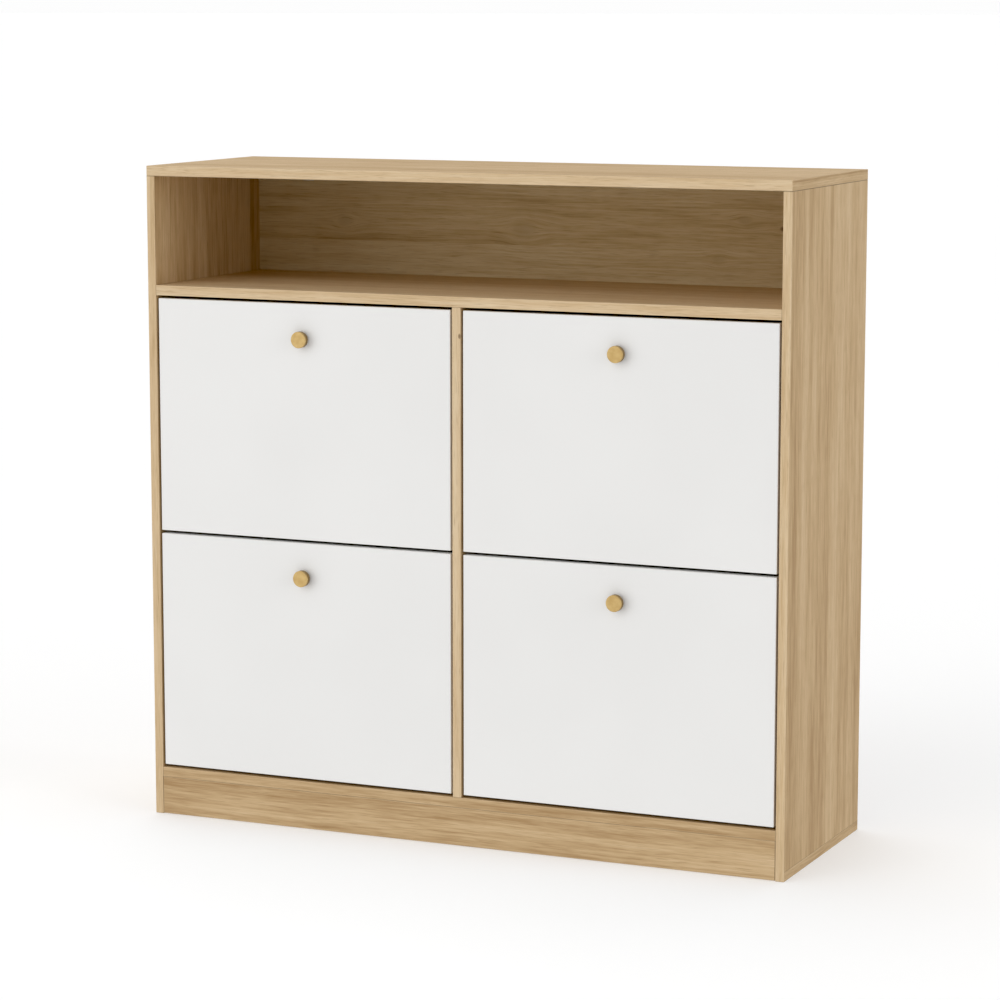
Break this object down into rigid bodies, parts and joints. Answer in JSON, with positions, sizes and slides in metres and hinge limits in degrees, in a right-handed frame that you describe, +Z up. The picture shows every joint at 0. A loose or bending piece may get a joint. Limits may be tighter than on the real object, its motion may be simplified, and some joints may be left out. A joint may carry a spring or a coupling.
{
  "type": "shoe cabinet",
  "caption": "Free-standing shoe cabinet: oak-faced carcass with an open niche above white tilt-out fronts, each carrying a double-row shoe bin and a round brass knob.",
  "frame": {"origin": "middle of the footprint on the floor, knobs included", "axes": "+X to the viewer's right along the width, +Y from the fronts to the back, +Z up"},
  "size_m": [1, 0.3404, 0.973],
  "materials": {
    "oak": "light oak decor with fine straight grain, matt",
    "oak_back_sheet": "light oak decor on thin hardboard, matt",
    "white_lacquer": "white satin lacquer on fibreboard",
    "satin_brass": "satin brass, turned",
    "cheek_plastic": "fine-textured moulded plastic",
    "tray_board": "pale grey melamine on thin fibreboard",
    "zinc_steel": "bright zinc plate",
    "sleeve_rubber": "soft black rubber",
    "beech": "fluted beech dowel"
  },
  "bodies": {
    "carcass": {"top_panel": "oak", "side_panel_left": "oak", "side_panel_right": "oak", "sole_strip_left": "oak", "sole_strip_right": "oak", "niche_shelf": "oak", "centre_divider": "oak", "bottom_board": "oak", "plinth_front": "oak", "plinth_rear": "oak", "plinth_brace": "oak", "back_panel": "oak_back_sheet", "dowels": "beech", "cam_bolts": "zinc_steel", "cam_locks": "zinc_steel", "back_nails": "zinc_steel", "pivot_pins": "zinc_steel", "stop_pins": "zinc_steel", "stop_sleeves": "sleeve_rubber", "wall_brackets": "zinc_steel", "wall_bracket_screws": "zinc_steel"},
    "bin_lower_left": {"front_lower_left": "white_lacquer", "knob_lower_left": "satin_brass", "knob_screw_lower_left": "zinc_steel", "cheek_outer_lower_left": "cheek_plastic", "cheek_inner_lower_left": "cheek_plastic", "cheek_screws_lower_left": "zinc_steel", "tray_floor_lower_left": "tray_board", "tray_divider_lower_left": "tray_board", "tray_back_lower_left": "tray_board"},
    "bin_lower_right": {"front_lower_right": "white_lacquer", "knob_lower_right": "satin_brass", "knob_screw_lower_right": "zinc_steel", "cheek_outer_lower_right": "cheek_plastic", "cheek_inner_lower_right": "cheek_plastic", "cheek_screws_lower_right": "zinc_steel", "tray_floor_lower_right": "tray_board", "tray_divider_lower_right": "tray_board", "tray_back_lower_right": "tray_board"},
    "bin_upper_left": {"front_upper_left": "white_lacquer", "knob_upper_left": "satin_brass", "knob_screw_upper_left": "zinc_steel", "cheek_outer_upper_left": "cheek_plastic", "cheek_inner_upper_left": "cheek_plastic", "cheek_screws_upper_left": "zinc_steel", "tray_floor_upper_left": "tray_board", "tray_divider_upper_left": "tray_board", "tray_back_upper_left": "tray_board"},
    "bin_upper_right": {"front_upper_right": "white_lacquer", "knob_upper_right": "satin_brass", "knob_screw_upper_right": "zinc_steel", "cheek_outer_upper_right": "cheek_plastic", "cheek_inner_upper_right": "cheek_plastic", "cheek_screws_upper_right": "zinc_steel", "tray_floor_upper_right": "tray_board", "tray_divider_upper_right": "tray_board", "tray_back_upper_right": "tray_board"}
  },
  "joints": [
    {"name": "tilt_lower_left", "type": "hinge", "parent": "carcass", "child": "bin_lower_left", "pos_m": [-0.24675, -0.13825, 0.1562], "axis": [1, 0, 0], "range_deg": [0, 48]},
    {"name": "tilt_lower_right", "type": "hinge", "parent": "carcass", "child": "bin_lower_right", "pos_m": [0.24675, -0.13825, 0.1562], "axis": [1, 0, 0], "range_deg": [0, 48]},
    {"name": "tilt_upper_left", "type": "hinge", "parent": "carcass", "child": "bin_upper_left", "pos_m": [-0.24675, -0.13825, 0.5128], "axis": [1, 0, 0], "range_deg": [0, 48]},
    {"name": "tilt_upper_right", "type": "hinge", "parent": "carcass", "child": "bin_upper_right", "pos_m": [0.24675, -0.13825, 0.5128], "axis": [1, 0, 0], "range_deg": [0, 48]}
  ]
}
